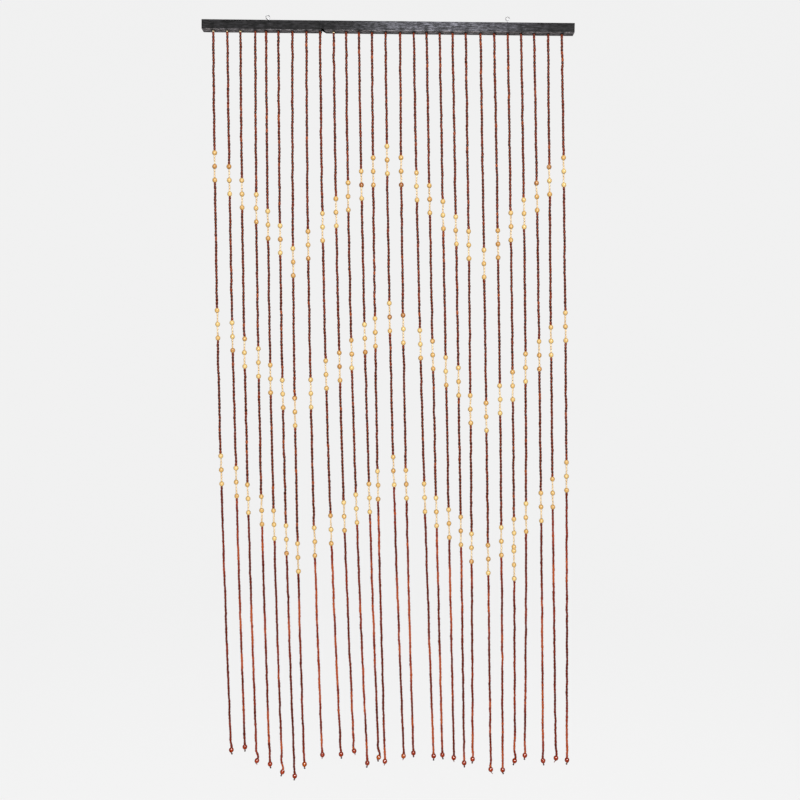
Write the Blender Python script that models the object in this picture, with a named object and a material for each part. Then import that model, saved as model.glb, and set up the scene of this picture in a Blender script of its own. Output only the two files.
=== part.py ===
# Wooden bead string curtain that hangs by two screw eyes from a stained header bar.
# Metres, +Z up, front towards -Y. The origin is midway between the centres of the two eyes.
import math
from collections import namedtuple

import bmesh
import bpy
from mathutils import Matrix, Vector

MM = 0.001
FIT_GAP = 0.0003
WELD = 0.00001

# Header bar
HEADER_LENGTH = 0.900
HEADER_HEIGHT = 0.023
HEADER_DEPTH = 0.026

# Screw eyes: one bent wire each, placed from the middle of the bar
WIRE_RADIUS = 0.00085
LOOP_OUTER_RADIUS = 0.0055
LOOP_RADIUS = LOOP_OUTER_RADIUS - WIRE_RADIUS
NECK_BEND_RADIUS = 0.0014
LOOP_END_ANGLE = math.radians(335)
SHANK_DEPTH = 0.009
LEFT_EYE_X = -0.292
RIGHT_EYE_X = 0.289
LEFT_EYE_RISE = 0.0100
RIGHT_EYE_RISE = 0.0125

HEADER_X = -(LEFT_EYE_X + RIGHT_EYE_X) / 2
HEADER_TOP = -(LEFT_EYE_RISE + RIGHT_EYE_RISE) / 2
UNDERSIDE = HEADER_TOP - HEADER_HEIGHT

# Batten that holds the strings, let into a groove in the bar's underside
BATTEN_WIDTH = 0.0080
BATTEN_HEIGHT = 0.0070
BATTEN_END = 0.006

# Chip out of the bar's lower edge, beside the ninth string
CHIP_X = -0.1612
CHIP_LENGTH = 0.020
CHIP_HEIGHT = 0.0046
CHIP_FALL = 0.43
CHIP_BACK_RISE = 0.148

# Beads and string
STRING_RADIUS = 0.0009
ROOT_DROP = 0.0014
BROWN_RADIUS = 0.0028
RUST_RADIUS = 0.00235
PALE_RADIUS = 0.0022
ROUND_RADIUS = 0.0057
ROUND_BELLY = 0.42
ROUND_POLE = 0.95
BAND_PITCHES = (0.0330, 0.0340, 0.0348)  # upper, middle and lower band
BAND_BEADS = 3
TAIL_LENGTH = 0.0130
DOUBLED_STRING = 23
DOUBLED_STEP = 0.0795

# One row a string, left to right, in millimetres: the root's place from the middle of the
# bar, the sideways drift and the bow of the hanging string, and the depths below the bar of
# the first round bead in each band and of the end bead.
Row = namedtuple("Row", "root drift bow upper middle lower end")
ROWS = (
    Row(-424, 47, -8, 293, 676, 1035, 1776),
    Row(-390, 48, -6, 326, 706, 1065, 1768),
    Row(-358, 46, -8, 359, 745, 1106, 1803),
    Row(-322, 43, -9, 393, 769, 1135, 1811),
    Row(-296, 48, -8, 433, 809, 1170, 1831),
    Row(-266, 49, -9, 468, 846, 1207, 1841),
    Row(-232, 39, -9, 523, 890, 1252, 1811),
    Row(-198, 50, -9, 481, 844, 1212, 1786),
    Row(-165, 64, -10, 437, 797, 1181, 1784),
    Row(-132, 64, -9, 401, 777, 1148, 1775),
    Row(-102, 68, -10, 362, 746, 1128, 1806),
    Row(-71, 65, -6, 334, 707, 1101, 1791),
    Row(-39, 49, -6, 301, 692, 1069, 1801),
    Row(-6, 63, -8, 273, 654, 1033, 1787),
    Row(29, 52, -6, 300, 683, 1066, 1779),
    Row(62, 70, -5, 336, 720, 1099, 1786),
    Row(93, 61, -2, 367, 746, 1134, 1783),
    Row(125, 58, -1, 405, 786, 1163, 1790),
    Row(156, 53, 1, 442, 811, 1181, 1803),
    Row(188, 42, 3, 477, 879, 1223, 1793),
    Row(224, 52, 1, 522, 897, 1251, 1819),
    Row(257, 49, 4, 474, 854, 1206, 1820),
    Row(290, 46, 4, 431, 820, 1185, 1796),
    Row(322, 39, 7, 399, 775, 1146, 1782),
    Row(354, 53, 3, 358, 744, 1119, 1795),
    Row(388, 51, -1, 319, 709, 1084, 1788),
    Row(421, 46, 4, 296, 673, 1042, 1793),
)


def clear_scene():
    for old in list(bpy.data.objects):
        bpy.data.objects.remove(old, do_unlink=True)


def new_collection(name):
    collection = bpy.data.collections.new(name)
    bpy.context.scene.collection.children.link(collection)
    return collection


def new_material(name, color, roughness, metallic=0.0):
    material = bpy.data.materials.new(name)
    material.use_nodes = True
    shader = material.node_tree.nodes["Principled BSDF"]
    shader.inputs["Base Color"].default_value = (*color, 1.0)
    shader.inputs["Roughness"].default_value = roughness
    shader.inputs["Metallic"].default_value = metallic
    material.diffuse_color = (*color, 1.0)
    return material


def mesh_object(name, bm, collection, material=None):
    mesh = bpy.data.meshes.new(name)
    bm.to_mesh(mesh)
    bm.free()
    if material:
        mesh.materials.append(material)
    piece = bpy.data.objects.new(name, mesh)
    collection.objects.link(piece)
    return piece


def block(name, low, high, collection, material=None):
    """A box between two corners, with its origin at its middle."""
    low, high = Vector(low), Vector(high)
    bm = bmesh.new()
    bmesh.ops.create_cube(bm, size=1.0, matrix=Matrix.Diagonal((*(high - low), 1.0)))
    piece = mesh_object(name, bm, collection, material)
    piece.location = (low + high) / 2
    return piece


def as_cutter(piece):
    piece.hide_render = True
    piece.display_type = "WIRE"
    return piece


def boolean(piece, other, operation):
    modifier = piece.modifiers.new(f"{operation.title()} {other.name}", "BOOLEAN")
    modifier.operation = operation
    modifier.solver = "EXACT"
    modifier.object = other


def bent_wire(name, points, radius, collection, material=None):
    curve = bpy.data.curves.new(name, "CURVE")
    curve.dimensions = "3D"
    curve.bevel_depth = radius
    curve.bevel_resolution = 2
    curve.use_fill_caps = True
    spline = curve.splines.new("POLY")
    spline.points.add(len(points) - 1)
    for point, place in zip(spline.points, points):
        point.co = (*place, 1.0)
    if material:
        curve.materials.append(material)
    piece = bpy.data.objects.new(name, curve)
    collection.objects.link(piece)
    return piece


# Header bar

def batten_ends():
    return (HEADER_X + ROWS[0].root * MM - BATTEN_END, HEADER_X + ROWS[-1].root * MM + BATTEN_END)


def make_groove(collection):
    left, right = batten_ends()
    half = BATTEN_WIDTH / 2 + FIT_GAP
    low = (left - FIT_GAP, -half, UNDERSIDE - BATTEN_HEIGHT)
    high = (right + FIT_GAP, half, UNDERSIDE + BATTEN_HEIGHT + FIT_GAP)
    return as_cutter(block("groove_cutter", low, high, collection))


def make_chip(collection):
    """A block under the bar whose sloping top is the roof of the chip."""
    low = (HEADER_X + CHIP_X, -HEADER_DEPTH, UNDERSIDE - CHIP_HEIGHT)
    high = (HEADER_X + CHIP_X + CHIP_LENGTH, HEADER_DEPTH, UNDERSIDE + CHIP_HEIGHT)
    chip = block("chip_cutter", low, high, collection)
    for vert in chip.data.vertices:
        if vert.co.z > 0:
            along = vert.co.x + CHIP_LENGTH / 2
            vert.co.z += CHIP_BACK_RISE * vert.co.y - CHIP_FALL * along
    return as_cutter(chip)


def make_pilot(name, x, collection):
    bm = bmesh.new()
    radius = WIRE_RADIUS + FIT_GAP
    depth = SHANK_DEPTH + FIT_GAP
    bmesh.ops.create_cone(bm, cap_ends=True, segments=12, radius1=radius, radius2=radius,
                          depth=2 * depth)
    pilot = mesh_object(name, bm, collection)
    pilot.location = (HEADER_X + x, 0, HEADER_TOP)
    return as_cutter(pilot)


def make_header(cutters, collection, material):
    half = HEADER_DEPTH / 2
    low = (HEADER_X - HEADER_LENGTH / 2, -half, UNDERSIDE)
    high = (HEADER_X + HEADER_LENGTH / 2, half, HEADER_TOP)
    header = block("header", low, high, collection, material)
    for cutter in cutters:
        boolean(header, cutter, "DIFFERENCE")
    return header


# Screw eyes

def eye_points(x, rise):
    """Shank, tight bend and open loop of one wire, in the plane of the curtain."""
    reach = LOOP_RADIUS + NECK_BEND_RADIUS
    start = math.asin(NECK_BEND_RADIUS / reach)
    centre = Vector((HEADER_X + x, 0, HEADER_TOP + rise))
    neck = centre - Vector((0, 0, reach * math.cos(start)))
    shank = Vector((centre.x, 0, HEADER_TOP - SHANK_DEPTH))
    points = [shank, (shank + neck) / 2]
    bend_steps = 5
    for step in range(bend_steps):
        turn = (math.pi / 2 - start) * step / bend_steps
        offset = Vector((math.cos(turn) - 1, 0, math.sin(turn)))
        points.append(neck + NECK_BEND_RADIUS * offset)
    loop_steps = 22
    for step in range(loop_steps + 1):
        angle = start + (LOOP_END_ANGLE - start) * step / loop_steps
        points.append(centre - LOOP_RADIUS * Vector((math.sin(angle), 0, math.cos(angle))))
    return points


# Strings

def string_place(row, depth):
    """The point of a string at a depth below the bar."""
    share = depth / (row.end * MM)
    swing = row.drift * share + 4 * row.bow * share * (1 - share)
    return Vector((HEADER_X + (row.root + swing) * MM, 0, UNDERSIDE - depth))


def bead_bands(number, row):
    """The depths of the round beads in the three bands of a string."""
    tops = (row.upper, row.middle, row.lower)
    bands = [[top * MM + bead * pitch for bead in range(BAND_BEADS)]
             for top, pitch in zip(tops, BAND_PITCHES)]
    if number == DOUBLED_STRING:
        bands[-1] += [depth + DOUBLED_STEP for depth in bands[-1]]
    return bands


def bead_rings(depth, above, below):
    """Four rings that swell a string into a round bead between two neck radii."""
    return [
        (depth - ROUND_RADIUS * ROUND_POLE, above),
        (depth - ROUND_RADIUS * ROUND_BELLY, ROUND_RADIUS),
        (depth + ROUND_RADIUS * ROUND_BELLY, ROUND_RADIUS),
        (depth + ROUND_RADIUS * ROUND_POLE, below),
    ]


def string_rings(number, row):
    """Every ring of a string as its depth and radius, from the batten to the tail's end."""
    rings = [
        (-BATTEN_HEIGHT / 2, STRING_RADIUS),
        (ROOT_DROP, STRING_RADIUS),
        (ROOT_DROP + BROWN_RADIUS / 2, BROWN_RADIUS),
    ]
    runs = (BROWN_RADIUS, BROWN_RADIUS, BROWN_RADIUS, RUST_RADIUS)
    bands = bead_bands(number, row)
    for band, run, next_run in zip(bands, runs, runs[1:]):
        for depth in band:
            above = run if depth == band[0] else PALE_RADIUS
            below = next_run if depth == band[-1] else PALE_RADIUS
            rings += bead_rings(depth, above, below)
    end = row.end * MM
    rings.append(((bands[-1][-1] + end) / 2, RUST_RADIUS))
    rings += bead_rings(end, RUST_RADIUS, STRING_RADIUS)
    rings.append((end + TAIL_LENGTH, STRING_RADIUS))
    return rings


def string_curve():
    """All the strings as four-sided tubes, each ring with its own radius."""
    curve = bpy.data.curves.new("strings_curve", "CURVE")
    curve.dimensions = "3D"
    curve.bevel_depth = 1.0
    curve.bevel_resolution = 0
    curve.use_fill_caps = True
    for number, row in enumerate(ROWS, start=1):
        rings = string_rings(number, row)
        spline = curve.splines.new("POLY")
        spline.points.add(len(rings) - 1)
        for point, (depth, radius) in zip(spline.points, rings):
            point.co = (*string_place(row, depth), 1.0)
            point.radius = radius
    return curve


def bead_slot(place):
    """The material slot of a face: strings' beads by their depth, or the batten."""
    depth = UNDERSIDE - place.z
    if depth < ROOT_DROP / 2:
        return 0
    near = min(enumerate(ROWS, start=1), key=lambda item: abs(string_place(item[1], depth).x - place.x))
    if depth > near[1].end * MM - ROUND_RADIUS:
        return 3
    for band in bead_bands(*near):
        if band[0] - ROUND_RADIUS < depth < band[-1] + ROUND_RADIUS:
            return 2
    return 1


def make_strings(chip, cutters, collection, materials):
    """The strings fused at their roots into the batten."""
    source = bpy.data.objects.new("strings_source", string_curve())
    collection.objects.link(source)
    graph = bpy.context.evaluated_depsgraph_get()
    mesh = bpy.data.meshes.new_from_object(source.evaluated_get(graph))
    bm = bmesh.new()
    bm.from_mesh(mesh)
    bmesh.ops.remove_doubles(bm, verts=bm.verts, dist=WELD)
    bmesh.ops.recalc_face_normals(bm, faces=bm.faces)
    bm.to_mesh(mesh)
    bm.free()
    strands = bpy.data.objects.new("strands", mesh)
    strands.matrix_world = source.matrix_world
    collection.objects.link(strands)
    bpy.data.objects.remove(source, do_unlink=True)
    mesh.name = "strands"
    mesh.materials.clear()
    for material in materials:
        mesh.materials.append(material)
    for face in mesh.polygons:
        face.material_index = bead_slot(face.center)

    left, right = batten_ends()
    half = BATTEN_WIDTH / 2
    batten = as_cutter(block("batten_union", (left, -half, UNDERSIDE),
                             (right, half, UNDERSIDE + BATTEN_HEIGHT), cutters, materials[0]))
    boolean(strands, batten, "UNION")
    boolean(strands, chip, "DIFFERENCE")
    return strands


def main():
    clear_scene()
    parts = new_collection("bead_string_curtain")
    cutters = new_collection("cutters")
    black = new_material("black_stained_wood", (0.035, 0.033, 0.034), 0.6)
    steel = new_material("zinc_plated_wire", (0.42, 0.42, 0.43), 0.35, 1.0)
    brown = new_material("brown_wood_beads", (0.19, 0.075, 0.045), 0.5)
    yellow = new_material("pale_wood_beads", (0.72, 0.53, 0.27), 0.45)
    orange = new_material("orange_end_beads", (0.42, 0.16, 0.08), 0.4)

    chip = make_chip(cutters)
    pilots = [
        make_pilot("left_pilot_cutter", LEFT_EYE_X, cutters),
        make_pilot("right_pilot_cutter", RIGHT_EYE_X, cutters),
    ]
    make_header([make_groove(cutters), *pilots, chip], parts, black)
    eyes = (("screw_eye_left", LEFT_EYE_X, LEFT_EYE_RISE), ("screw_eye_right", RIGHT_EYE_X, RIGHT_EYE_RISE))
    for name, x, rise in eyes:
        bent_wire(name, eye_points(x, rise), WIRE_RADIUS, parts, steel)
    make_strings(chip, cutters, parts, (black, brown, yellow, orange))


main()
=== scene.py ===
# Wooden bead string curtain that hangs by two screw eyes from a black stained header bar.
# Looks of every piece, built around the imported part. Metres, +Z up, front towards -Y.
import math
import random
from collections import namedtuple

import bmesh
import bpy
import numpy as np
from mathutils import Matrix, Vector, noise


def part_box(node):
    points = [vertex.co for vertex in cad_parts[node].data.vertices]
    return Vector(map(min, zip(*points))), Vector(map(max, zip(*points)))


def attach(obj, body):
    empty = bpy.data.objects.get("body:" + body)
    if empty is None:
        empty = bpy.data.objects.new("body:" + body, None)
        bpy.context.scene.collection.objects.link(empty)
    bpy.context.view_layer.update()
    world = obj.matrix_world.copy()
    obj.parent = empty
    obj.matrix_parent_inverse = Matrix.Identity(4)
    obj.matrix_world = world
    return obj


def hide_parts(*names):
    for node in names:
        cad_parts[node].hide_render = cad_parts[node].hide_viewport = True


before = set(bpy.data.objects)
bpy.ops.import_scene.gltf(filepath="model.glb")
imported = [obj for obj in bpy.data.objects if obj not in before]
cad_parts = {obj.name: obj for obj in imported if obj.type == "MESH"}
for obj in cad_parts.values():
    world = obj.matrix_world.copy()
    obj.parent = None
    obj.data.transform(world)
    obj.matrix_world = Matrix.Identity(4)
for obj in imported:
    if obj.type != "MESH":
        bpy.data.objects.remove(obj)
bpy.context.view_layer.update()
dice = random.Random(27)
noise.seed_set(27)  # without it noise_vector differs from run to run
mm = 0.001

headerLow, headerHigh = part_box("header")
headerX = (headerLow.x + headerHigh.x) / 2
headerTop = headerHigh.z
underside = headerLow.z
print("frame loaded, header bar", round((headerHigh.x - headerLow.x) / mm), "mm long")


# Camera, at the photograph's place and angle

cameraLook = {
    "place": (0.0396, -2.3313, -0.8178),
    "downDegrees": 2.66,
    "rollDegrees": 0.598,
    "lens": 42.54,
    "sensor": 36,
}


def makeCamera():
    data = bpy.data.cameras.new("camera")
    data.lens = cameraLook["lens"]
    data.sensor_width = cameraLook["sensor"]
    camera = bpy.data.objects.new("camera", data)
    pitch = Matrix.Rotation(math.radians(90 - cameraLook["downDegrees"]), 4, "X")
    roll = Matrix.Rotation(math.radians(cameraLook["rollDegrees"]), 4, "Z")
    camera.matrix_world = Matrix.Translation(cameraLook["place"]) @ pitch @ roll
    bpy.context.scene.collection.objects.link(camera)
    bpy.context.scene.camera = camera


makeCamera()


# Strings: one row each, left to right, in millimetres. The root's place from the middle of the bar,
# the sideways drift and bow of the hanging string, the depths below the bar of the first round bead
# in each band and of the end bead, the kink above the end bead, and how far its tail leans.
String = namedtuple("String", "root drift bow upper middle lower end kink tail")
strings = (
    String(-424, 47, -8, 293, 676, 1035, 1776, 2, 2),
    String(-390, 48, -6, 326, 706, 1065, 1768, 0, 0),
    String(-358, 46, -8, 359, 745, 1106, 1803, 4, 0),
    String(-322, 43, -9, 393, 769, 1135, 1811, 0, 2),
    String(-296, 48, -8, 433, 809, 1170, 1831, 3, -4),
    String(-266, 49, -9, 468, 846, 1207, 1841, 0, -2),
    String(-232, 39, -9, 523, 890, 1252, 1811, 0, 1),
    String(-198, 50, -9, 481, 844, 1212, 1786, 1, -1),
    String(-165, 64, -10, 437, 797, 1181, 1784, 0, 1),
    String(-132, 64, -9, 401, 777, 1148, 1775, -2, 3),
    String(-102, 68, -10, 362, 746, 1128, 1806, 0, -2),
    String(-71, 65, -6, 334, 707, 1101, 1791, 4, -2),
    String(-39, 49, -6, 301, 692, 1069, 1801, 1, -2),
    String(-6, 63, -8, 273, 654, 1033, 1787, 1, -2),
    String(29, 52, -6, 300, 683, 1066, 1779, 0, 0),
    String(62, 70, -5, 336, 720, 1099, 1786, 0, 0),
    String(93, 61, -2, 367, 746, 1134, 1783, 0, 2),
    String(125, 58, -1, 405, 786, 1163, 1790, 1, 1),
    String(156, 53, 1, 442, 811, 1181, 1803, 0, 1),
    String(188, 42, 3, 477, 879, 1223, 1793, 1, -1),
    String(224, 52, 1, 522, 897, 1251, 1819, -1, 5),
    String(257, 49, 4, 474, 854, 1206, 1820, 0, 2),
    String(290, 46, 4, 431, 820, 1185, 1796, 3, -4),
    String(322, 39, 7, 399, 775, 1146, 1782, 1, -1),
    String(354, 53, 3, 358, 744, 1119, 1795, -1, 2),
    String(388, 51, -1, 319, 709, 1084, 1788, 2, -5),
    String(421, 46, 4, 296, 673, 1042, 1793, 0, -2),
)

stringLook = {
    "bandPitches": (33.0, 34.0, 34.8),
    "bandBeads": 3,
    "doubledString": 23,  # its last band is there twice
    "doubledStep": 79.5,
    "wander": 1.0,        # how far a string strays from its line
    "wanderLength": 24,   # and over what length
    "wanderFrom": 40,     # it strays less above this depth
    "wanderApart": 7.3,   # noise places, from string to string, then sideways and forward
    "wanderSides": (0.5, 40.5),
    "kinkLength": 44,     # length of the kink above an end bead
    "kinkFade": 0.9,      # share of it over which the kink dies out
    "rootDrop": 3.2,      # bare cord between the bar and the first bead
}


def stringPoint(number, depth):
    # the point on a string's line at a depth in millimetres below the bar
    look = stringLook
    row = strings[number - 1]
    share = depth / row.end
    swing = row.drift * share + 4 * row.bow * share * (1 - share)
    turn = depth / look["wanderLength"]
    stray = look["wander"] * min(1, depth / look["wanderFrom"])
    sideways, forward = (stray * noise.noise((turn, number * look["wanderApart"], side))
                         for side in look["wanderSides"])
    reach = (row.end - depth) / look["kinkLength"]
    sideways += row.kink * math.sin(2 * math.pi * reach) * max(0, 1 - reach / look["kinkFade"])
    return Vector((headerX + (row.root + swing + sideways) * mm, forward * mm, underside - depth * mm))


def beadBands(number):
    row = strings[number - 1]
    bands = [[top + bead * pitch for bead in range(stringLook["bandBeads"])]
             for top, pitch in zip((row.upper, row.middle, row.lower), stringLook["bandPitches"])]
    if number == stringLook["doubledString"]:
        bands[-1] += [depth + stringLook["doubledStep"] for depth in bands[-1]]
    return bands


# Shader maths as plain expressions

def tint(red, green, blue):
    # a colour as a paint program gives it, 0 to 255, in the renderer's linear values
    def linear(value):
        value /= 255
        return value / 12.92 if value <= 0.04045 else ((value + 0.055) / 1.055) ** 2.4
    return (linear(red), linear(green), linear(blue), 1.0)


class Wire:
    # one socket of a node tree; operators on it add Math nodes
    def __init__(self, tree, socket=None):
        self.tree = tree
        self.socket = socket

    def feed(self, socket, value):
        if isinstance(value, Wire):
            self.tree.links.new(value.socket, socket)
        else:
            socket.default_value = value

    def node(self, kind, settings=None, values=None, output=0):
        made = self.tree.nodes.new(kind)
        for name, value in (settings or {}).items():
            if name == "stops":
                ramp = made.color_ramp.elements
                while len(ramp) < len(value):
                    ramp.new(1.0)
                for element, (position, color) in zip(ramp, value):
                    element.position = position
                    element.color = color
            else:
                setattr(made, name, value)
        for name, value in (values or {}).items():
            self.feed(made.inputs[name], value)
        return Wire(self.tree, made.outputs[output])

    def maths(self, operation, first, second=0.0):
        return self.node("ShaderNodeMath", {"operation": operation}, {0: first, 1: second})

    def __add__(self, other):
        return self.maths("ADD", self, other)

    def __sub__(self, other):
        return self.maths("SUBTRACT", self, other)

    def __rsub__(self, other):
        return self.maths("SUBTRACT", other, self)

    def __mul__(self, other):
        return self.maths("MULTIPLY", self, other)

    __radd__ = __add__
    __rmul__ = __mul__

    def mixed(self, first, second):
        # this socket is the factor between two colours
        return self.node("ShaderNodeMix", {"data_type": "RGBA"}, {0: self, 6: first, 7: second}, 2)

    def shaded(self, color):
        # the colour darkened where this socket is low
        grey = self.node("ShaderNodeCombineColor", None, {0: self, 1: self, 2: self})
        return self.node("ShaderNodeMix", {"data_type": "RGBA", "blend_type": "MULTIPLY"},
                         {0: 1.0, 6: color, 7: grey}, 2)


def newFinish(name):
    material = bpy.data.materials.new(name)
    material.use_nodes = True
    return material, material.node_tree.nodes["Principled BSDF"], Wire(material.node_tree)


def attribute(wire, name, output):
    return wire.node("ShaderNodeAttribute", {"attribute_name": name}, output=output)


def speckle(wire, place, stretch, scale, detail=3.0, roughness=0.55, distortion=0.0):
    # noise from 0 to 1 on a place that is stretched along each axis
    moved = wire.node("ShaderNodeMapping", None, {"Vector": place, "Scale": stretch})
    return wire.node("ShaderNodeTexNoise", None, {
        "Vector": moved, "Scale": scale, "Detail": detail, "Roughness": roughness,
        "Distortion": distortion})


def between(wire, value, low, high):
    # 0 at low, 1 at high, smooth
    return wire.node("ShaderNodeMapRange", {"interpolation_type": "SMOOTHSTEP"},
                     {"Value": value, "From Min": low, "From Max": high})


# Meshes and pieces

def newPiece(name, bm, finishes, slotName, *replaced):
    mesh = bpy.data.meshes.new(name)
    bm.to_mesh(mesh)
    bm.free()
    for finish in finishes:
        mesh.materials.append(finish)
    piece = bpy.data.objects.new(name, mesh)
    bpy.context.scene.collection.objects.link(piece)
    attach(piece, "root")
    if replaced:
        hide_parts(*replaced)
    return piece


def addMesh(bm, other):
    joined = bpy.data.meshes.new("joined")
    other.to_mesh(joined)
    other.free()
    bm.from_mesh(joined)
    bpy.data.meshes.remove(joined)


def smoothAll(bm, sharpDegrees):
    bmesh.ops.recalc_face_normals(bm, faces=bm.faces)
    for face in bm.faces:
        face.smooth = True
    for edge in bm.edges:
        edge.smooth = len(edge.link_faces) < 2 or edge.calc_face_angle() < math.radians(sharpDegrees)


turnedLook = {
    "pole": 0.001,       # nearer the axis than this, a point is the middle of a hole
    # past the rims, so a hole gets the full end wear and the full painted shade of the ends
    "holeEnd": 1.3,      # its place along the bead, where the rims are at 1
    "sharpDegrees": 62,
    "reach": 0.3,        # share of a bead's length at which its cord is read, up and down
    "grainSpread": 90,   # each bead has its own place in the grain, up to this far off
    "runBeads": 50,      # beads joined at a time
}


def beadTemplate(name, look, variant):
    # a turned bead along Z, one unit long and one unit in radius, with a sunk hole at each end
    shape = random.Random(variant)
    bm = bmesh.new()
    bmesh.ops.create_uvsphere(bm, u_segments=look["segments"], v_segments=look["rings"], radius=1)
    rim = math.cos(math.pi / look["rings"])
    taper = shape.uniform(-1, 1) * look["lopsided"]
    oval = 1 + shape.uniform(0, 1) * look["lopsided"]
    for vert in bm.verts:
        across = math.hypot(vert.co.x, vert.co.y)
        height = vert.co.z / rim
        if across < turnedLook["pole"]:
            vert.co = (0, 0, math.copysign(0.5 - look["dimple"], height))
            continue
        swell = across ** (look["fullness"] - 1) * (1 + taper * height)
        vert.co = (vert.co.x * swell * oval, vert.co.y * swell / oval, 0.5 * height)
    smoothAll(bm, turnedLook["sharpDegrees"])
    place = bm.verts.layers.float_vector.new("grain")
    along = bm.verts.layers.float.new("ends")
    bm.verts.layers.float.new("tone")
    for vert in bm.verts:
        vert[place] = vert.co
        atPole = math.hypot(vert.co.x, vert.co.y) <= turnedLook["pole"]
        vert[along] = turnedLook["holeEnd"] if atPole else min(1, 2 * abs(vert.co.z))
    mesh = bpy.data.meshes.new(name)
    bm.to_mesh(mesh)
    bm.free()
    return mesh


Bead = namedtuple("Bead", "number depth length radius tone")


def beadMatrix(bead, look):
    # the bead's place on its string, along the cord, with a small tilt and offset of its own
    reach = turnedLook["reach"] * bead.length
    above = stringPoint(bead.number, bead.depth - reach)
    below = stringPoint(bead.number, bead.depth + reach)
    lean = Vector((dice.gauss(0, look["lean"]), dice.gauss(0, look["lean"]), 0))
    axis = (above - below).normalized() + lean
    spin = Matrix.Rotation(dice.uniform(0, 2 * math.pi), 4, "Z")
    turn = axis.to_track_quat("Z", "Y").to_matrix().to_4x4()
    stray = Vector((dice.gauss(0, look["stray"]), dice.gauss(0, look["stray"]), 0)) * mm
    size = Matrix.Diagonal((bead.radius * mm, bead.radius * mm, bead.length * mm, 1))
    return Matrix.Translation((above + below) / 2 + stray) @ turn @ spin @ size


def threadBeads(name, beads, look, finish, slotName):
    # one joined mesh of many beads, each a copy of one of a few turned shapes
    templates = [beadTemplate(f"{name}Shape{variant}", look, variant) for variant in range(look["shapes"])]
    points = np.empty(len(templates[0].vertices) * 3, np.float32)
    spread = turnedLook["grainSpread"]
    step = turnedLook["runBeads"]
    bm = bmesh.new()
    for start in range(0, len(beads), step):
        run = bmesh.new()
        for bead in beads[start:start + step]:
            copy = dice.choice(templates).copy()
            copy.vertices.foreach_get("co", points)
            size = np.tile((bead.radius, bead.radius, bead.length), len(points) // 3)
            offset = np.tile([dice.uniform(-spread, spread) for axis in range(3)], len(points) // 3)
            copy.attributes["grain"].data.foreach_set("vector", (points * size + offset).astype(np.float32))
            copy.attributes["tone"].data.foreach_set("value", [bead.tone] * (len(points) // 3))
            copy.transform(beadMatrix(bead, look))
            run.from_mesh(copy)
            bpy.data.meshes.remove(copy)
        addMesh(bm, run)
    for template in templates:
        bpy.data.meshes.remove(template)
    piece = newPiece(name, bm, [finish], slotName, "strands")
    print(name, len(beads), "beads,", len(piece.data.polygons), "faces")


def stretchOfBeads(number, start, stop, look, toneOf):
    # beads of uneven length that fill a stretch of cord from end to end
    if stop <= start:
        return []  # round beads that touch leave no room
    count = max(1, round((stop - start) / look["length"]))
    lengths = [1 + dice.uniform(-1, 1) * look["unevenLength"] for bead in range(count)]
    fit = (stop - start) / sum(lengths)
    beads, depth = [], start
    for place, length in enumerate(lengths):
        length *= fit
        radius = look["radius"] * (1 + dice.gauss(0, look["unevenRadius"]))
        beads.append(Bead(number, depth + length / 2, length, radius, toneOf(place, count)))
        depth += length
    return beads


# Finishes of the beads: turned wood, stained and varnished

woodLook = {
    "fibre": (4.0, 0.6, 0.4),  # detail, roughness and distortion of the noise
    "fibreRange": (0.3, 0.7), "blotchDetail": 2.0, "blotchRange": (0.45, 0.75),
    "endStop": 1.1,            # the shade at a bead's ends is full here
    "roughSpread": 0.22, "bumpDepth": 0.06,
}


def beadFinish(name, look):
    material, shader, wire = newFinish(name)
    tone = attribute(wire, "tone", "Fac")
    place = attribute(wire, "grain", "Vector")
    ends = attribute(wire, "ends", "Fac")
    fibre = speckle(wire, place, look["fibreStretch"], look["fibreScale"], *woodLook["fibre"])
    blotch = speckle(wire, place, (1, 1, 1), look["blotchScale"], woodLook["blotchDetail"])
    base = tone.node("ShaderNodeValToRGB", {"stops": look["tones"]}, {"Fac": tone})
    worn = between(wire, blotch, *woodLook["blotchRange"]).mixed(base, look["blotch"])
    stained = (1 - look["fibreDepth"] * (1 - between(wire, fibre, *woodLook["fibreRange"]))).shaded(worn)
    atEnds = between(wire, ends, look["endStart"], woodLook["endStop"])
    rubbed = (look["endWear"] * atEnds).mixed(stained, look["endTint"])
    # painted shade at a bead's ends, where it meets the next bead, and in its holes
    darker = (1 - look["endShade"] * atEnds).shaded(rubbed)
    wire.feed(shader.inputs["Base Color"], darker)
    wire.feed(shader.inputs["Roughness"], look["roughness"] + woodLook["roughSpread"] * fibre)
    shader.inputs["Specular IOR Level"].default_value = look["specular"]
    shader.inputs["Coat Weight"].default_value = look["coat"]
    shader.inputs["Coat Roughness"].default_value = look["coatRoughness"]
    bump = wire.node("ShaderNodeBump", None, {
        "Height": fibre, "Strength": look["bump"], "Distance": woodLook["bumpDepth"] * mm})
    wire.feed(shader.inputs["Normal"], bump)
    return material


# Brown oval beads, from the bar down to the lowest band

brownLook = {
    "segments": 8, "rings": 6, "shapes": 5,
    "length": 7.8, "radius": 3.2, "unevenLength": 0.16, "unevenRadius": 0.035,
    "fullness": 0.5, "dimple": 0.07, "lopsided": 0.05, "lean": 0.05, "stray": 0.16,
    "tones": [(0.0, tint(38, 10, 4)), (0.45, tint(62, 18, 7)), (0.75, tint(96, 30, 11)),
              (1.0, tint(140, 66, 24))],
    "blotch": tint(98, 40, 20), "blotchScale": 0.5,
    "fibreStretch": (1, 1, 0.2), "fibreScale": 1.6, "fibreDepth": 0.35,
    "endShade": 0.0, "endStart": 0.45, "endWear": 0.6, "endTint": tint(150, 66, 30),
    "roughness": 0.24, "specular": 0.14, "coat": 0.05, "coatRoughness": 0.2, "bump": 0.3,
}


brownTones = {
    "besideRound": (0.6, 0.85),  # redder beside a round bead
    "brightShare": 0.03, "bright": (0.85, 1.0),
    "middle": 0.42, "spread": 0.17, "most": 0.8,
}


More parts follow.
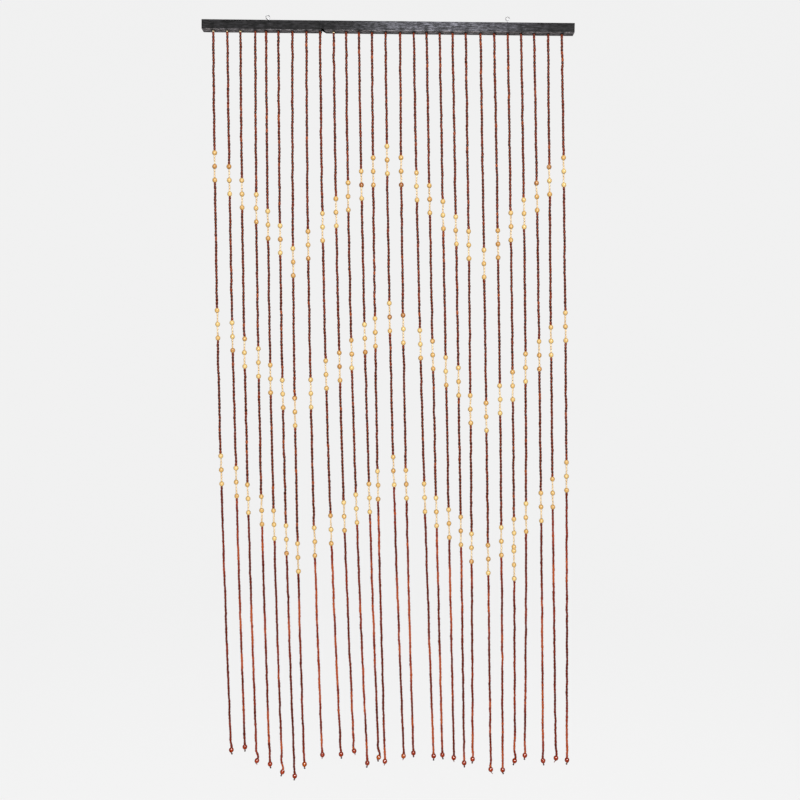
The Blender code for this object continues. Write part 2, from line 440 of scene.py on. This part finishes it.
def brownTone(place, count):
    look = brownTones
    if place in (0, count - 1):
        return dice.uniform(*look["besideRound"])
    if dice.random() < look["brightShare"]:
        return dice.uniform(*look["bright"])
    return min(look["most"], max(0.0, dice.gauss(look["middle"], look["spread"])))


def roundRoom():
    # from the middle of a round bead to where the next bead starts
    return roundLook["radius"] * roundLook["seat"]


def makeBrownBeads():
    finish = beadFinish("brown_beads", brownLook)
    half = roundRoom()
    parts = {"brownBeadsUpper": [], "brownBeadsMiddle": [], "brownBeadsLower": []}
    for number in range(1, len(strings) + 1):
        bands = beadBands(number)
        tops = [stringLook["rootDrop"]] + [band[-1] + half for band in bands[:2]]
        for name, top, band in zip(parts, tops, bands):
            parts[name] += stretchOfBeads(number, top, band[0] - half, brownLook, brownTone)
    for name, beads in parts.items():
        threadBeads(name, beads, brownLook, finish, "brown_beads")


# Rust coloured beads, thinner, from the lowest band to the end bead

rustLook = dict(brownLook)
rustLook.update({
    "length": 7.4, "radius": 2.95, "unevenLength": 0.22, "unevenRadius": 0.05, "fullness": 0.4,
    "tones": [(0.0, tint(70, 12, 3)), (0.5, tint(98, 23, 7)), (0.8, tint(120, 34, 10)),
              (1.0, tint(154, 66, 24))],
    "blotch": tint(120, 46, 22), "endShade": 0.15, "endStart": 0.6, "endWear": 0.15,
})


rustDrift = {"first": (0.2, 0.8), "step": 0.2}


def rustTones():
    # neighbours are alike: the tone drifts slowly down a string
    tone = dice.uniform(*rustDrift["first"])
    while True:
        tone = min(1.0, max(0.0, tone + dice.gauss(0, rustDrift["step"])))
        yield tone


def makeRustBeads():
    finish = beadFinish("rust_beads", rustLook)
    beads = []
    for number, row in enumerate(strings, start=1):
        start = beadBands(number)[-1][-1] + roundRoom()
        stop = row.end - roundRoom()
        tones = rustTones()
        beads += stretchOfBeads(number, start, stop, rustLook, lambda place, count: next(tones))
    threadBeads("rustBeads", beads, rustLook, finish, "rust_beads")


# Round beads of the three bands

roundLook = {
    "segments": 12, "rings": 8, "shapes": 4,
    "length": 12.0, "radius": 6.0, "unevenRadius": 0.02, "seat": 0.93,
    "fullness": 1.0, "dimple": 0.10, "lopsided": 0.02, "lean": 0.06, "stray": 0.15,
    "tones": [(0.0, tint(184, 158, 100)), (0.55, tint(168, 130, 70)), (0.8, tint(148, 100, 46)),
              (1.0, tint(112, 52, 24))],
    "blotch": tint(184, 148, 96), "blotchScale": 0.22,
    "fibreStretch": (0.25, 1, 1), "fibreScale": 0.9, "fibreDepth": 0.16,
    "endShade": 0.45, "endStart": 0.8, "endWear": 0.0, "endTint": tint(112, 52, 24),
    "roughness": 0.3, "specular": 0.4, "coat": 0.3, "coatRoughness": 0.2, "bump": 0.25,
}
# round beads that are darker than the rest, by tone: string, band, place in the band
amberBeads = {
    0.94: ((12, 0, 1), (15, 0, 2)),
    0.88: ((14, 1, 1), (15, 1, 0), (25, 0, 0), (26, 0, 0)),
    0.75: ((1, 0, 1), (2, 0, 0), (2, 1, 2), (6, 2, 2), (7, 1, 0), (8, 0, 2), (10, 1, 1), (12, 1, 2),
           (20, 2, 2), (22, 0, 1), (25, 1, 2)),
}
plainRounds = (0.0, 0.65)  # tones of the others


def makeRoundBeads():
    finish = beadFinish("yellow_beads", roundLook)
    amber = {place: tone for tone, places in amberBeads.items() for place in places}
    beads = []
    for number in range(1, len(strings) + 1):
        for bandPlace, band in enumerate(beadBands(number)):
            for place, depth in enumerate(band):
                tone = amber.get((number, bandPlace, place), dice.uniform(*plainRounds))
                radius = roundLook["radius"] * (1 + dice.gauss(0, roundLook["unevenRadius"]))
                beads.append(Bead(number, depth, roundLook["length"], radius, tone))
    threadBeads("roundBeads", beads, roundLook, finish, "yellow_beads")


# Pale oval beads between the round ones

paleLook = dict(brownLook)
paleLook.update({
    "length": 7.7, "radius": 2.2, "unevenLength": 0.1, "unevenRadius": 0.05, "shapes": 3,
    "tones": [(0.0, tint(196, 178, 146)), (1.0, tint(178, 152, 114))],
    "blotch": tint(168, 132, 92), "blotchScale": 0.45, "fibreDepth": 0.12,
    "endShade": 0.4, "endStart": 0.6, "endWear": 0.0,
})


def makePaleBeads():
    finish = beadFinish("pale_beads", paleLook)
    half = roundRoom()
    beads = []
    for number in range(1, len(strings) + 1):
        for band in beadBands(number):
            for upper, lower in zip(band, band[1:]):
                beads += stretchOfBeads(number, upper + half, lower - half, paleLook,
                                        lambda place, count: dice.random())
    threadBeads("paleBeads", beads, paleLook, finish, "pale_beads")


# End beads, with a knot and a short tail under each

endLook = dict(roundLook)
endLook.update({
    "tones": [(0.0, tint(112, 29, 7)), (0.8, tint(134, 42, 11)), (1.0, tint(144, 66, 18))],
    "blotch": tint(150, 56, 24), "fibreDepth": 0.25, "roughness": 0.14, "specular": 1.0,
    "coat": 1.0, "coatRoughness": 0.12,
})
goldenEnds = (7, 12, 14)
plainEnds = (0, 0.8)  # tones of the others


def makeEndBeads():
    finish = beadFinish("orange_beads", endLook)
    beads = []
    for number, row in enumerate(strings, start=1):
        tone = 1.0 if number in goldenEnds else dice.uniform(*plainEnds)
        beads.append(Bead(number, row.end, endLook["length"], endLook["radius"], tone))
    threadBeads("endBeads", beads, endLook, finish, "orange_beads")


# Cord: one core down each string, a knot at its root, a knot and a tail under the end bead

cordLook = {
    "radius": 0.45, "sides": 6, "step": 12, "top": -4, "sharpDegrees": 60,
    "rootKnot": 2.0, "rootKnotDrop": 1.3, "rootTone": 0.45, "paleRoots": (1, 2, 3, 10), "paleTone": 1.0,
    "tones": [(0.0, tint(38, 18, 12)), (0.4, tint(110, 36, 18)), (0.6, tint(150, 84, 40)),
              (1.0, tint(214, 196, 160))],
    "fuzzStretch": (1, 1, 0.4), "fuzzScale": 2600, "fuzzRange": (0.3, 0.7), "fuzzDepth": 0.4,
    "roughness": 0.75, "bump": 0.6, "bumpDepth": 0.15,
}
knotLook = {"steps": 24, "swing": 0.45, "height": 0.75, "cord": 0.42, "sides": 6}
tailLook = {
    "radius": 1.5, "swells": (0.8, 1.1, 1.0, 0.95, 1.0, 0.75), "sides": 8,
    "foot": 5.0, "drop": 11.2, "forward": 1.5, "bulge": -0.15,
    "knot": 1.7, "knotDrop": 0.4, "footTone": 0.4, "tipTone": 0.0,
    "thinTails": (3, 8, 10, 13, 14, 18, 21, 26), "thin": 0.65, "thinTone": 0.3,
}


def cordFinish():
    look = cordLook
    material, shader, wire = newFinish("cord")
    tone = attribute(wire, "tone", "Fac")
    place = wire.node("ShaderNodeTexCoord", output="Object")
    fuzz = speckle(wire, place, look["fuzzStretch"], look["fuzzScale"])
    base = tone.node("ShaderNodeValToRGB", {"stops": look["tones"]}, {"Fac": tone})
    shade = 1 - look["fuzzDepth"] * (1 - between(wire, fuzz, *look["fuzzRange"]))
    wire.feed(shader.inputs["Base Color"], shade.shaded(base))
    shader.inputs["Roughness"].default_value = look["roughness"]
    bump = wire.node("ShaderNodeBump", None, {
        "Height": fuzz, "Strength": look["bump"], "Distance": look["bumpDepth"] * mm})
    wire.feed(shader.inputs["Normal"], bump)
    return material


def knot(bm, middle, radius, tone):
    # an overhand knot: a trefoil of cord drawn up tight
    look = knotLook
    spin = dice.uniform(0, 2 * math.pi)
    points = []
    for step in range(look["steps"]):
        angle = 2 * math.pi * step / look["steps"]
        out = 1 - look["swing"] * (1 - math.cos(3 * angle))
        points.append(middle + radius * Vector((
            out * math.cos(2 * angle + spin), out * math.sin(2 * angle + spin),
            look["height"] * math.sin(3 * angle))))
    points.append(points[0])
    tube(bm, points, [radius * look["cord"]] * len(points), look["sides"], [tone] * len(points))


def tube(bm, points, radii, sides, tones):
    # rings bridged one to the next, with a cap at each end, made apart and then added
    single = bmesh.new()
    toneLayer = single.verts.layers.float.new("tone")
    rings = []
    for place, point in enumerate(points):
        ahead = points[min(place + 1, len(points) - 1)] - points[max(place - 1, 0)]
        turn = ahead.to_track_quat("Z", "Y").to_matrix().to_4x4()
        made = bmesh.ops.create_circle(single, segments=sides, radius=radii[place],
                                       matrix=Matrix.Translation(point) @ turn)["verts"]
        rings.append(made)
        for vert in made:
            vert[toneLayer] = tones[place]
        if place:
            pair = (set(rings[-2]), set(made))
            outline = {edge for vert in rings[-2] + made for edge in vert.link_edges}
            bmesh.ops.bridge_loops(single, edges=[
                edge for edge in outline if any(set(edge.verts) <= ring for ring in pair)])
    for ring in (rings[0], rings[-1]):
        single.faces.new(ring)
    addMesh(bm, single)


def makeTail(bm, number, row):
    # a knot right under the end bead, then a short stub, most of them with a darker knot at the tip
    look = tailLook
    thin = number in look["thinTails"]
    radius = look["radius"] * mm * (look["thin"] if thin else 1.0)
    foot = stringPoint(number, row.end + look["foot"])
    forward = dice.uniform(-look["forward"], look["forward"])
    tip = stringPoint(number, row.end) + Vector((row.tail, forward, -look["drop"])) * mm
    knot(bm, foot - Vector((0, 0, look["knotDrop"] * mm)), look["knot"] * mm, look["footTone"])
    bulge = Vector((row.tail, 0, 0)) * mm * look["bulge"]
    shares = np.linspace(0, 1, len(look["swells"]))
    points = [foot.lerp(tip, share) + bulge * math.sin(math.pi * share) for share in shares]
    radii = [radius * swell for swell in look["swells"]]
    last = look["thinTone"] if thin else look["tipTone"]
    tube(bm, points, radii, look["sides"],
         [look["footTone"] * (1 - share) + last * share for share in shares])
    if not thin:
        knot(bm, points[-2], look["knot"] * mm, look["tipTone"])


def makeCore(bm, number, row, tone):
    look = cordLook
    depths = np.linspace(look["top"], row.end, 2 + int(row.end / look["step"]))
    points = [stringPoint(number, depth) for depth in depths]
    tube(bm, points, [look["radius"] * mm] * len(points), look["sides"], [tone] * len(points))


def makeKnots(bm, number, row, tone):
    knot(bm, stringPoint(number, cordLook["rootKnotDrop"]), cordLook["rootKnot"] * mm, tone)
    makeTail(bm, number, row)


def makeCords():
    look = cordLook
    finish = cordFinish()
    for name, make in (("cordCores", makeCore), ("cordKnots", makeKnots)):
        bm = bmesh.new()
        bm.verts.layers.float.new("tone")
        for number, row in enumerate(strings, start=1):
            make(bm, number, row, look["paleTone"] if number in look["paleRoots"] else look["rootTone"])
        smoothAll(bm, look["sharpDegrees"])
        piece = newPiece(name, bm, [finish], "cord", "strands")
        print(name, len(piece.data.polygons), "faces")


# Header bar and the batten let into its underside

headerLook = {
    "edgeRound": 0.9, "edgeSteps": 3, "endRound": 0.5, "endSteps": 2, "cuts": 280, "sharpDegrees": 30,
    "wobble": 0.10, "wobbleScale": 40, "dents": 0.5, "dentScale": (55, 60, 60), "dentFrom": 0.25,
    "wornEdge": 0.6,      # the worn part of an edge, as a share of its rounding
    "pilotFoot": 1.15, "pilotTop": 1.3, "pilotLength": 19,
}
battenLook = {
    "width": 8.0, "height": 7.0, "end": 6.0, "round": 0.35, "roundSteps": 2, "lift": 0.1, "wear": 0.6,
    "gap": 0.3,           # between the batten and its groove
    "grooveBelow": 10,    # how far the groove's cutter hangs below the bar
    "holeTop": 2.2, "holeMouth": 3.7, "holeDepth": 5.5,
}
chipLook = {
    "x": -161.2, "length": 16.0, "height": 5.0, "fall": 0.5, "backRise": 0.05,
    "splinter": 0.5, "splinterScale": (90, 700), "along": 9, "across": 15,
    "reach": 23, "below": 8,  # how far its cutter stands out of the bar
}
# painted shade on the underside, darkest in and around each hole and in the chip, where shade falls
paintedShadeLook = {
    "width": 4.8, "core": 1.2, "outside": 0.6, "outsideFrom": 5, "chip": 0.9, "chipFrom": 1.0,
    "rise": 6.5,          # none of it is higher than this above the underside
}
# each grain has its scale along, into and down the bar
stainLook = {
    # the underside's pale colour is dust and painted light from below together
    "dark": tint(17, 16, 16), "grey": tint(96, 96, 103), "paleUnderside": tint(142, 138, 140),
    "worn": tint(96, 90, 88),
    "broadGrain": (9, 170, 170), "fineGrain": (170, 700, 700), "mottleGrain": (70, 290, 290),
    "brushGrain": (28, 320, 320),
    "brushRange": (0.38, 0.62), "mottleRange": (0.3, 0.7), "wearRange": (0.5, 0.72), "wear": 0.6,
    # between these the stain is greyer along the bar: dry brushed dust and a painted sheen of the key light
    "dustAndSheenFrom": (-0.15, 0.11), "dustAndSheenTo": (0.41, 0.15),  # the bar is greyer between these, along it
    "least": 0.05, "most": 0.75, "underMost": 0.75, "haze": 0.15,
    "fineShade": (0.45, 0.9), "mottleShade": (0.25, 1.5), "paintedShadeDepth": 0.92,
    "underRange": (0.9, 0.3), "roughness": (0.5, 0.3), "specular": 0.12, "bump": 0.5, "bumpDepth": 0.25,
}


def box(bm, low, high):
    size = Vector(high) - Vector(low)
    middle = (Vector(high) + Vector(low)) / 2
    return bmesh.ops.create_cube(bm, size=1, matrix=Matrix.Translation(middle)
                                 @ Matrix.Diagonal((*size, 1)))["verts"]


def cutAway(piece, cutters):
    # each cutter is a closed bmesh; the cuts are applied to the piece's mesh
    holders = []
    for place, bm in enumerate(cutters):
        mesh = bpy.data.meshes.new(f"cutter{place}")
        bm.to_mesh(mesh)
        bm.free()
        holder = bpy.data.objects.new(f"cutter{place}", mesh)
        bpy.context.scene.collection.objects.link(holder)
        holders.append(holder)
        cut = piece.modifiers.new(holder.name, "BOOLEAN")
        cut.operation = "DIFFERENCE"
        cut.solver = "EXACT"
        cut.object = holder
    graph = bpy.context.evaluated_depsgraph_get()
    mesh = bpy.data.meshes.new_from_object(piece.evaluated_get(graph))
    piece.modifiers.clear()
    piece.data = mesh
    for holder in holders:
        bpy.data.objects.remove(holder, do_unlink=True)


def longEdges(bm):
    # those that run along the whole bar
    return [e for e in bm.edges if abs((e.verts[0].co - e.verts[1].co).x) > 100 * mm]


def battenBox(bm, margin, bottom):
    # the batten's own box, or with a margin the groove's, all in millimetres
    look = battenLook
    half = (look["width"] / 2 + margin) * mm
    end = (look["end"] + margin) * mm
    box(bm, (headerX + strings[0].root * mm - end, -half, underside + bottom * mm),
        (headerX + strings[-1].root * mm + end, half, underside + (look["height"] + margin) * mm))


def grooveCutter():
    bm = bmesh.new()
    battenBox(bm, battenLook["gap"], -battenLook["grooveBelow"])
    return bm


def chipCutter():
    # the splintered roof falls to the right and rises towards the back
    look = chipLook
    start = headerX + look["x"] * mm
    reach = look["reach"] * mm
    bm = bmesh.new()
    box(bm, (start, -reach, underside - look["below"] * mm),
        (start + look["length"] * mm, reach, underside + look["height"] * mm))
    along = [edge for edge in bm.edges if abs((edge.verts[0].co - edge.verts[1].co).x) > mm]
    bmesh.ops.subdivide_edges(bm, edges=along, cuts=look["along"], use_grid_fill=True)
    across = [edge for edge in bm.edges if abs((edge.verts[0].co - edge.verts[1].co).y) > mm]
    bmesh.ops.subdivide_edges(bm, edges=across, cuts=look["across"], use_grid_fill=True)
    scaleX, scaleY = look["splinterScale"]
    for vert in bm.verts:
        if vert.co.z > underside:
            splinter = noise.noise((vert.co.x * scaleX, vert.co.y * scaleY, 3.1)) * look["splinter"] * mm
            fall = look["fall"] * (vert.co.x - start)
            vert.co.z += look["backRise"] * vert.co.y - fall + splinter
    return bm


def holeCutter():
    # cones that widen downwards, centred on the underside
    look = battenLook
    bm = bmesh.new()
    for row in strings:
        place = Matrix.Translation((headerX + row.root * mm, 0, underside))
        bmesh.ops.create_cone(bm, cap_ends=True, segments=14, matrix=place,
                              radius1=(2 * look["holeMouth"] - look["holeTop"]) * mm,
                              radius2=look["holeTop"] * mm, depth=2 * look["holeDepth"] * mm)
    return bm


def pilotCutter():
    look = headerLook
    bm = bmesh.new()
    for node in ("screw_eye_left", "screw_eye_right"):
        low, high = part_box(node)
        place = Matrix.Translation(((low.x + high.x) / 2, 0, headerTop))
        bmesh.ops.create_cone(bm, cap_ends=True, segments=20, matrix=place, radius1=look["pilotFoot"] * mm,
                              radius2=look["pilotTop"] * mm, depth=look["pilotLength"] * mm)
    return bm


def stainFinish():
    look = stainLook
    material, shader, wire = newFinish("black_stained_wood")
    place = wire.node("ShaderNodeTexCoord", output="Object")
    edge = attribute(wire, "edge", "Fac")
    soil = attribute(wire, "soil", "Fac")
    along, height = (wire.node("ShaderNodeSeparateXYZ", None, {"Vector": place}, axis) for axis in "XZ")
    under = between(wire, height, *(underside + above * mm for above in look["underRange"]))
    broad = speckle(wire, place, look["broadGrain"], 1.0)
    fine = speckle(wire, place, look["fineGrain"], 1.0, 4.0, 0.65)
    mottle = speckle(wire, place, look["mottleGrain"], 1.0, 3.0, 0.6)
    brushed = speckle(wire, place, look["brushGrain"], 1.0, 5.0, 0.7, 0.4)
    # dry brushed dust, with a painted sheen of the key light in the bar's middle and painted light from
    # below on its underside: little at the bar's ends, most in its middle and on its underside
    dustAndSheen = between(wire, along, *look["dustAndSheenFrom"]) * between(wire, along, *look["dustAndSheenTo"])
    mask = between(wire, brushed * 0.6 + fine * 0.4, *look["brushRange"])
    # the underside is lighter: partly dust, partly painted light from below
    dustAndLight = look["least"] + look["most"] * dustAndSheen + under * (look["underMost"] - 0.6 * dustAndSheen)
    dustAndLightTint = under.mixed(look["grey"], look["paleUnderside"])
    base = (mask * dustAndLight + look["haze"] * dustAndLight).mixed(look["dark"], dustAndLightTint)
    worn = edge * between(wire, broad * 0.6 + fine * 0.5, *look["wearRange"]) * look["wear"]
    rubbed = worn.mixed(base, look["worn"])
    fineLeast, fineMore = look["fineShade"]
    mottleLeast, mottleMore = look["mottleShade"]
    mottled = mottleLeast + mottleMore * between(wire, mottle, *look["mottleRange"])
    # the stain is darkened by the painted shade at the holes and in the chip
    shade = (fineLeast + fineMore * fine) * mottled * (1 - look["paintedShadeDepth"] * soil)
    wire.feed(shader.inputs["Base Color"], shade.shaded(rubbed))
    smoothest, rougher = look["roughness"]
    wire.feed(shader.inputs["Roughness"], smoothest + rougher * brushed)
    shader.inputs["Specular IOR Level"].default_value = look["specular"]
    bump = wire.node("ShaderNodeBump", None, {
        "Height": fine * 0.5 + brushed * 0.8, "Strength": look["bump"], "Distance": look["bumpDepth"] * mm})
    wire.feed(shader.inputs["Normal"], bump)
    return material


def paintRootShade(piece):
    # painted shade: darkest at a hole, less so past the batten's sides
    look = paintedShadeLook
    soil = piece.data.attributes.new("soil", "FLOAT", "POINT")
    for place, vert in enumerate(piece.data.vertices):
        above = (vert.co.z - underside) / mm
        if above > look["rise"]:
            continue
        along = (vert.co.x - headerX) / mm
        dark = look["core"] - min(abs(along - row.root) for row in strings) / look["width"]
        if abs(vert.co.y) > look["outsideFrom"] * mm:
            dark *= look["outside"]
        # the chip's roof gets an even painted shade
        if above > look["chipFrom"] and 0 < along - chipLook["x"] < chipLook["length"]:
            dark = look["chip"]
        soil.data[place].value = min(1.0, max(0.0, dark))


def makeHeader(finish):
    look = headerLook
    bm = bmesh.new()
    box(bm, headerLow, headerHigh)
    wear = bm.verts.layers.float.new("edge")
    bmesh.ops.bevel(bm, geom=longEdges(bm), offset=look["edgeRound"] * mm, affect="EDGES",
                    segments=look["edgeSteps"], profile=0.5, material=-1)
    endEdges = [e for e in bm.edges if abs(e.verts[0].co.x - e.verts[1].co.x) < 0.1 * mm and e.is_manifold
                and e.calc_face_angle() > 1]
    bmesh.ops.bevel(bm, geom=endEdges, offset=look["endRound"] * mm, affect="EDGES",
                    segments=look["endSteps"], profile=0.5, material=-1)
    bmesh.ops.subdivide_edges(bm, edges=longEdges(bm), cuts=look["cuts"], use_grid_fill=True)
    middle = (headerLow + headerHigh) / 2
    flat = (headerHigh - headerLow) / 2 - Vector((0, 1, 1)) * look["wornEdge"] * look["edgeRound"] * mm
    scaleX, scaleY, scaleZ = look["dentScale"]
    for vert in bm.verts:
        offset = vert.co - middle
        atEdge = abs(offset.y) > flat.y and abs(offset.z) > flat.z
        vert[wear] = 1.0 if atEdge else 0.0
        uneven = look["wobble"] * mm * noise.noise_vector(vert.co * look["wobbleScale"])
        lump = noise.noise((vert.co.x * scaleX, offset.y * scaleY, offset.z * scaleZ))
        dent = max(0.0, lump - look["dentFrom"])
        inwards = Vector((0, -offset.y, -offset.z)).normalized() * look["dents"] * mm * dent * atEdge
        vert.co += Vector((0, uneven.y, uneven.z)) + inwards
    smoothAll(bm, look["sharpDegrees"])
    piece = newPiece("headerBar", bm, [finish], "black_stained_wood", "header")
    cutAway(piece, [grooveCutter(), pilotCutter(), chipCutter()])
    paintRootShade(piece)
    print("headerBar", len(piece.data.polygons), "faces")


def makeBatten(finish):
    look = battenLook
    bm = bmesh.new()
    battenBox(bm, 0, look["lift"])
    wear = bm.verts.layers.float.new("edge")
    bmesh.ops.bevel(bm, geom=list(bm.edges), offset=look["round"] * mm, affect="EDGES",
                    segments=look["roundSteps"], profile=0.5, material=-1)
    bmesh.ops.subdivide_edges(bm, edges=longEdges(bm), cuts=headerLook["cuts"], use_grid_fill=True)
    for vert in bm.verts:
        vert[wear] = look["wear"]
    smoothAll(bm, headerLook["sharpDegrees"])
    piece = newPiece("batten", bm, [finish], "black_stained_wood", "strands")
    cutAway(piece, [holeCutter(), chipCutter()])
    paintRootShade(piece)
    print("batten", len(piece.data.polygons), "faces")


# Screw eyes

eyeLook = {
    "wire": 0.85, "loopOuter": 5.5, "bend": 1.4, "endDegrees": 335, "shankDepth": 9.0,
    "sides": 14, "loopSteps": 44, "bendSteps": 8, "tipInset": 0.25, "tipRise": 0.15, "sharpDegrees": 35,
    "light": tint(176, 176, 180), "dull": tint(118, 116, 116),
    "cloudScale": 420, "cloudRange": (0.35, 0.65), "roughness": (0.28, 0.25), "bump": 0.25,
    "bumpDepth": 0.05,
}


def wireFinish():
    look = eyeLook
    material, shader, wire = newFinish("plated_wire")
    place = wire.node("ShaderNodeTexCoord", output="Object")
    cloud = speckle(wire, place, (1, 1, 1), look["cloudScale"], 4.0, 0.6)
    bright = between(wire, cloud, *look["cloudRange"])
    wire.feed(shader.inputs["Base Color"], bright.mixed(look["dull"], look["light"]))
    smoothest, rougher = look["roughness"]
    wire.feed(shader.inputs["Roughness"], smoothest + rougher * cloud)
    shader.inputs["Metallic"].default_value = 1.0
    bump = wire.node("ShaderNodeBump", None, {
        "Height": cloud, "Strength": look["bump"], "Distance": look["bumpDepth"] * mm})
    wire.feed(shader.inputs["Normal"], bump)
    return material


def makeEye(node, name, finish):
    # one bent wire: up the shank, a tight bend, then the open loop, all by spinning a ring
    look = eyeLook
    low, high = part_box(node)
    loop = (look["loopOuter"] - look["wire"]) * mm
    bend = look["bend"] * mm
    start = math.asin(bend / (loop + bend))
    centre = Vector(((low.x + high.x) / 2, 0, high.z - look["loopOuter"] * mm))
    neck = centre - Vector((0, 0, (loop + bend) * math.cos(start)))
    bm = bmesh.new()
    foot = Matrix.Translation((centre.x, 0, headerTop - look["shankDepth"] * mm))
    ring = bmesh.ops.create_circle(bm, segments=look["sides"], radius=look["wire"] * mm,
                                   matrix=foot)["verts"]
    bm.faces.new(ring)
    edges = list({e for v in ring for e in v.link_edges})
    made = bmesh.ops.extrude_edge_only(bm, edges=edges)["geom"]
    bmesh.ops.translate(bm, verts=[g for g in made if isinstance(g, bmesh.types.BMVert)],
                        vec=(0, 0, neck.z - foot.translation.z))
    made = [g for g in made if not isinstance(g, bmesh.types.BMFace)]
    made = bmesh.ops.spin(bm, geom=made, cent=neck - Vector((bend, 0, 0)), axis=(0, 1, 0),
                          angle=-(math.pi / 2 - start), steps=look["bendSteps"],
                          space=Matrix())["geom_last"]
    made = [g for g in made if not isinstance(g, bmesh.types.BMFace)]
    made = bmesh.ops.spin(bm, geom=made, cent=centre, axis=(0, 1, 0),
                          angle=math.radians(look["endDegrees"]) - start, steps=look["loopSteps"],
                          space=Matrix())["geom_last"]
    rim = [g for g in made if isinstance(g, bmesh.types.BMEdge)]
    cap = bmesh.ops.contextual_create(bm, geom=rim)["faces"]
    bmesh.ops.inset_region(bm, faces=cap, thickness=look["tipInset"] * mm, depth=look["tipRise"] * mm)
    bmesh.ops.remove_doubles(bm, verts=bm.verts, dist=0.01 * mm)
    smoothAll(bm, look["sharpDegrees"])
    piece = newPiece(name, bm, [finish], "plated_wire", node)
    print(name, len(piece.data.polygons), "faces")


# Studio: a round pale sweep, soft lights

studioLook = {
    "floor": -2.6, "radius": 6.5, "sweep": 2.0, "sweepSteps": 12, "top": 5.0, "turnSteps": 72,
    "glow": 0.845, "albedo": 0.05, "ambient": 0.42,
}
# name, place, aim, width, power; only the key makes highlights
studioLights = (
    ("key", (0.5, -3.1, 0.25), (0.0, 0.0, -0.9), 1.0, 185),
    ("low", (-0.4, -1.6, -2.3), (0.0, 0.0, -0.2), 1.4, 40),
    ("left", (-3.2, 0.7, 0.2), (0.0, 0.0, -0.8), 1.6, 14),
    ("right", (3.2, 0.7, 0.2), (0.0, 0.0, -0.8), 1.6, 14),
    ("back", (0.4, 2.2, 0.6), (0.0, 0.0, -0.9), 1.6, 25),
    ("overhead", (0.3, -0.4, 2.0), (0.0, 0.0, 0.0), 1.8, 30),
)


def makeStudio():
    look = studioLook
    bm = bmesh.new()
    outline = [(0, look["floor"]), (look["radius"] - look["sweep"], look["floor"])]
    for step in range(1, look["sweepSteps"] + 1):
        angle = math.pi / 2 * step / look["sweepSteps"]
        outline.append((look["radius"] - look["sweep"] * (1 - math.sin(angle)),
                        look["floor"] + look["sweep"] * (1 - math.cos(angle))))
    outline.append((look["radius"], look["top"]))
    verts = [bm.verts.new((x, 0, z)) for x, z in outline]
    edges = [bm.edges.new(pair) for pair in zip(verts, verts[1:])]
    bmesh.ops.spin(bm, geom=verts + edges, cent=(0, 0, 0), axis=(0, 0, 1), angle=2 * math.pi,
                   steps=look["turnSteps"], use_merge=True)
    bmesh.ops.remove_doubles(bm, verts=bm.verts, dist=0.1 * mm)
    for face in bm.faces:
        face.smooth = True
    material, shader, wire = newFinish("pale_sweep")
    shader.inputs["Base Color"].default_value = (look["albedo"],) * 3 + (1,)
    shader.inputs["Roughness"].default_value = 0.9
    shader.inputs["Specular IOR Level"].default_value = 0.0
    shader.inputs["Emission Color"].default_value = (1, 1, 1, 1)
    shader.inputs["Emission Strength"].default_value = look["glow"]
    mesh = bpy.data.meshes.new("sweep")
    bm.to_mesh(mesh)
    bm.free()
    mesh.materials.append(material)
    sweep = bpy.data.objects.new("sweep", mesh)
    sweep.visible_glossy = False
    sweep.visible_diffuse = False
    bpy.context.scene.collection.objects.link(sweep)

    world = bpy.data.worlds.new("studio")
    bpy.context.scene.world = world
    world.use_nodes = True
    world.node_tree.nodes["Background"].inputs["Color"].default_value = (1, 1, 1, 1)
    world.node_tree.nodes["Background"].inputs["Strength"].default_value = look["ambient"]
    world.cycles_visibility.glossy = False

    for name, place, aim, width, power in studioLights:
        data = bpy.data.lights.new(name, "AREA")
        data.size = width
        data.energy = power
        light = bpy.data.objects.new(name, data)
        light.visible_glossy = name == "key"
        facing = (Vector(aim) - Vector(place)).to_track_quat("-Z", "Y").to_matrix().to_4x4()
        light.matrix_world = Matrix.Translation(place) @ facing
        bpy.context.scene.collection.objects.link(light)
    bpy.context.scene.view_settings.view_transform = "Standard"


stain = stainFinish()
makeHeader(stain)
makeBatten(stain)
plating = wireFinish()
makeEye("screw_eye_left", "screwEyeLeft", plating)
makeEye("screw_eye_right", "screwEyeRight", plating)
makeBrownBeads()
makeRustBeads()
makeRoundBeads()
makePaleBeads()
makeEndBeads()
makeCords()
makeStudio()
